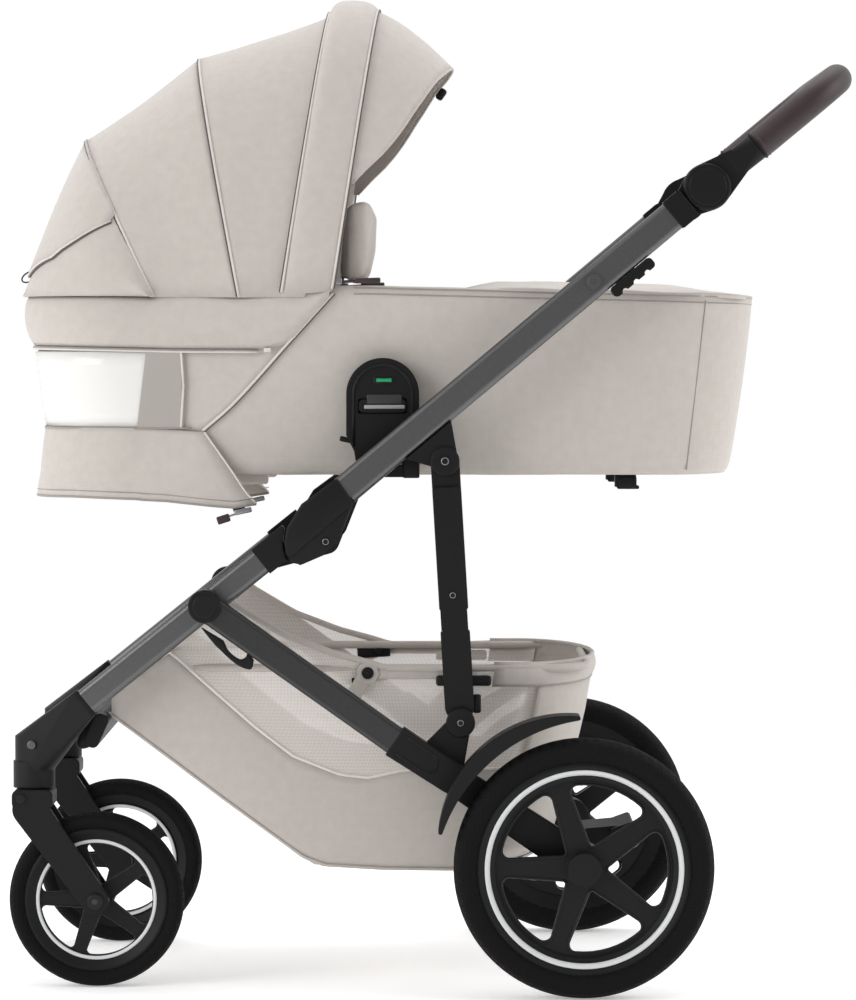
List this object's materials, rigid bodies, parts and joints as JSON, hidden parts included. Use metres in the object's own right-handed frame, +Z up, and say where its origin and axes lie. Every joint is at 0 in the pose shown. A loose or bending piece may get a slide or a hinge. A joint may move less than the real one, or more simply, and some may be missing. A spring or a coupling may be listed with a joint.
{
  "type": "baby stroller",
  "caption": "Folding four-wheel baby stroller with telescopic-look struts, swivel front wheels, storage basket and lift-off hooded carrycot.",
  "frame": {"origin": "on the floor, under the middle of the bounding box", "axes": "+X to the rear where the handle is, +Z up, -Y to the stroller's left side"},
  "size_m": [0.9517, 0.602, 1.1271],
  "materials": {
    "metal": "brushed, anodised gunmetal",
    "black_plastic": "fine matte grain",
    "cot_fabric": "light taupe woven cloth",
    "basket_fabric": "taupe woven cloth",
    "mattress_cover": "soft cotton",
    "grip_leather": "stitched, fine grain",
    "tyre": "matte foamed rubber"
  },
  "bodies": {
    "front_frame": {"front_tube_left": "metal", "front_tube_right": "metal", "front_collar_left": "black_plastic", "front_collar_right": "black_plastic", "caster_housing_left": "black_plastic", "caster_housing_right": "black_plastic", "front_crossbar": "black_plastic", "leg_pivot_left": "black_plastic", "leg_pivot_right": "black_plastic", "cot_support_left": "black_plastic", "cot_support_right": "black_plastic", "basket": "basket_fabric", "basket_frame": "basket_fabric"},
    "push_frame": {"fold_housing_left": "black_plastic", "fold_housing_right": "black_plastic", "fold_crossbar": "metal", "push_tube_left": "metal", "push_tube_right": "metal", "strut_bracket_left": "black_plastic", "strut_bracket_right": "black_plastic", "handle_hinge_left": "black_plastic", "handle_hinge_right": "black_plastic"},
    "handle": {"handle_arms": "black_plastic", "handle_grip": "grip_leather"},
    "rear_frame": {"rear_legs": "metal", "rear_casting_left": "black_plastic", "rear_casting_right": "black_plastic", "rear_axle": "metal", "mudguards": "black_plastic"},
    "brake": {"brake_pedal": "black_plastic"},
    "carrycot": {"cot_body": "cot_fabric", "cot_rim": "cot_fabric", "cot_feet": "black_plastic", "mattress": "mattress_cover", "apron": "cot_fabric", "adapter_left": "black_plastic", "adapter_right": "black_plastic", "hood_bow_rear": "metal", "hood_panel_rear": "cot_fabric"},
    "wind_flap": {"wind_flap": "cot_fabric"},
    "hood_mid": {"hood_bow_mid": "metal"},
    "hood_front": {"hood_bow_front": "metal", "hood_panel_front": "cot_fabric", "visor": "cot_fabric"},
    "strut_left": {"strut_left": "black_plastic"},
    "fold_lever_left": {"fold_lever_left": "black_plastic"},
    "rear_wheel_left": {"rear_rim_left": "black_plastic", "rear_tyre_left": "tyre"},
    "caster_left": {"caster_fork_left": "black_plastic"},
    "front_wheel_left": {"front_rim_left": "black_plastic", "front_tyre_left": "tyre"},
    "release_left": {"release_left": "black_plastic"},
    "strut_right": {"strut_right": "black_plastic"},
    "fold_lever_right": {"fold_lever_right": "black_plastic"},
    "rear_wheel_right": {"rear_rim_right": "black_plastic", "rear_tyre_right": "tyre"},
    "caster_right": {"caster_fork_right": "black_plastic"},
    "front_wheel_right": {"front_rim_right": "black_plastic", "front_tyre_right": "tyre"},
    "release_right": {"release_right": "black_plastic"}
  },
  "joints": [
    {"name": "fold", "type": "hinge", "parent": "front_frame", "child": "push_frame", "pos_m": [-0.1233, 0, 0.506], "axis": [0, 1, 0], "range_deg": [0, 130]},
    {"name": "rear_leg_fold", "type": "hinge", "parent": "front_frame", "child": "rear_frame", "pos_m": [-0.2576, 0, 0.4347], "axis": [0, 1, 0], "range_deg": [0, 81]},
    {"name": "handle_angle", "type": "hinge", "parent": "push_frame", "child": "handle", "pos_m": [0.3026, 0, 0.9016], "axis": [0, 1, 0], "range_deg": [-45, 45]},
    {"name": "brake_press", "type": "hinge", "parent": "rear_frame", "child": "brake", "pos_m": [0.1644, 0, 0.145], "axis": [0, 1, 0], "range_deg": [0, 18]},
    {"name": "cot_lift", "type": "slide", "parent": "front_frame", "child": "carrycot", "axis": [0, 0, 1], "range_m": [0, 0.45]},
    {"name": "wind_flap_fold", "type": "hinge", "parent": "carrycot", "child": "wind_flap", "pos_m": [-0.084, 0, 0.801], "axis": [0, 1, 0], "range_deg": [0, 80]},
    {"name": "hood_mid_fold", "type": "hinge", "parent": "carrycot", "child": "hood_mid", "pos_m": [-0.24, 0, 0.802], "axis": [0, -1, 0], "range_deg": [0, 28], "deforming": ["hood_panel_rear"]},
    {"name": "hood_front_fold", "type": "hinge", "parent": "hood_mid", "child": "hood_front", "pos_m": [-0.24, 0, 0.802], "axis": [0, -1, 0], "range_deg": [0, 28], "deforming": ["hood_panel_front"]},
    {"name": "strut_pivot_left", "type": "hinge", "parent": "push_frame", "child": "strut_left", "pos_m": [0.01, -0.228, 0.5959], "axis": [0, 1, 0], "range_deg": [-90, 0]},
    {"name": "fold_lever_pull_left", "type": "slide", "parent": "push_frame", "child": "fold_lever_left", "axis": [0.7672, 0, 0.6414], "range_m": [0, 0.012], "stiffness_N_per_m": 400},
    {"name": "rear_wheel_spin_left", "type": "hinge", "parent": "rear_frame", "child": "rear_wheel_left", "pos_m": [0.1644, -0.277, 0.145], "axis": [0, 1, 0], "continuous": true},
    {"name": "caster_swivel_left", "type": "hinge", "parent": "front_frame", "child": "caster_left", "pos_m": [-0.4546, -0.185, 0.226], "axis": [0, 0, 1], "continuous": true},
    {"name": "front_wheel_spin_left", "type": "hinge", "parent": "caster_left", "child": "front_wheel_left", "pos_m": [-0.384, -0.185, 0.099], "axis": [0, 1, 0], "continuous": true},
    {"name": "release_press_left", "type": "slide", "parent": "carrycot", "child": "release_left", "axis": [0, 1, 0], "range_m": [0, 0.003], "stiffness_N_per_m": 300},
    {"name": "strut_pivot_right", "type": "hinge", "parent": "push_frame", "child": "strut_right", "pos_m": [0.01, 0.228, 0.5959], "axis": [0, 1, 0], "range_deg": [-90, 0]},
    {"name": "fold_lever_pull_right", "type": "slide", "parent": "push_frame", "child": "fold_lever_right", "axis": [0.7672, 0, 0.6414], "range_m": [0, 0.012], "stiffness_N_per_m": 400},
    {"name": "rear_wheel_spin_right", "type": "hinge", "parent": "rear_frame", "child": "rear_wheel_right", "pos_m": [0.1644, 0.277, 0.145], "axis": [0, 1, 0], "continuous": true},
    {"name": "caster_swivel_right", "type": "hinge", "parent": "front_frame", "child": "caster_right", "pos_m": [-0.4546, 0.185, 0.226], "axis": [0, 0, 1], "continuous": true},
    {"name": "front_wheel_spin_right", "type": "hinge", "parent": "caster_right", "child": "front_wheel_right", "pos_m": [-0.384, 0.185, 0.099], "axis": [0, 1, 0], "continuous": true},
    {"name": "release_press_right", "type": "slide", "parent": "carrycot", "child": "release_right", "axis": [0, -1, 0], "range_m": [0, 0.003], "stiffness_N_per_m": 300}
  ],
  "couplings": [
    {"joint": "rear_leg_fold", "follows": "fold", "ratio": 0.612},
    {"joint": "hood_front_fold", "follows": "hood_mid_fold", "ratio": 1},
    {"joint": "strut_pivot_left", "follows": "fold", "ratio": -0.645},
    {"joint": "strut_pivot_right", "follows": "fold", "ratio": -0.645}
  ]
}
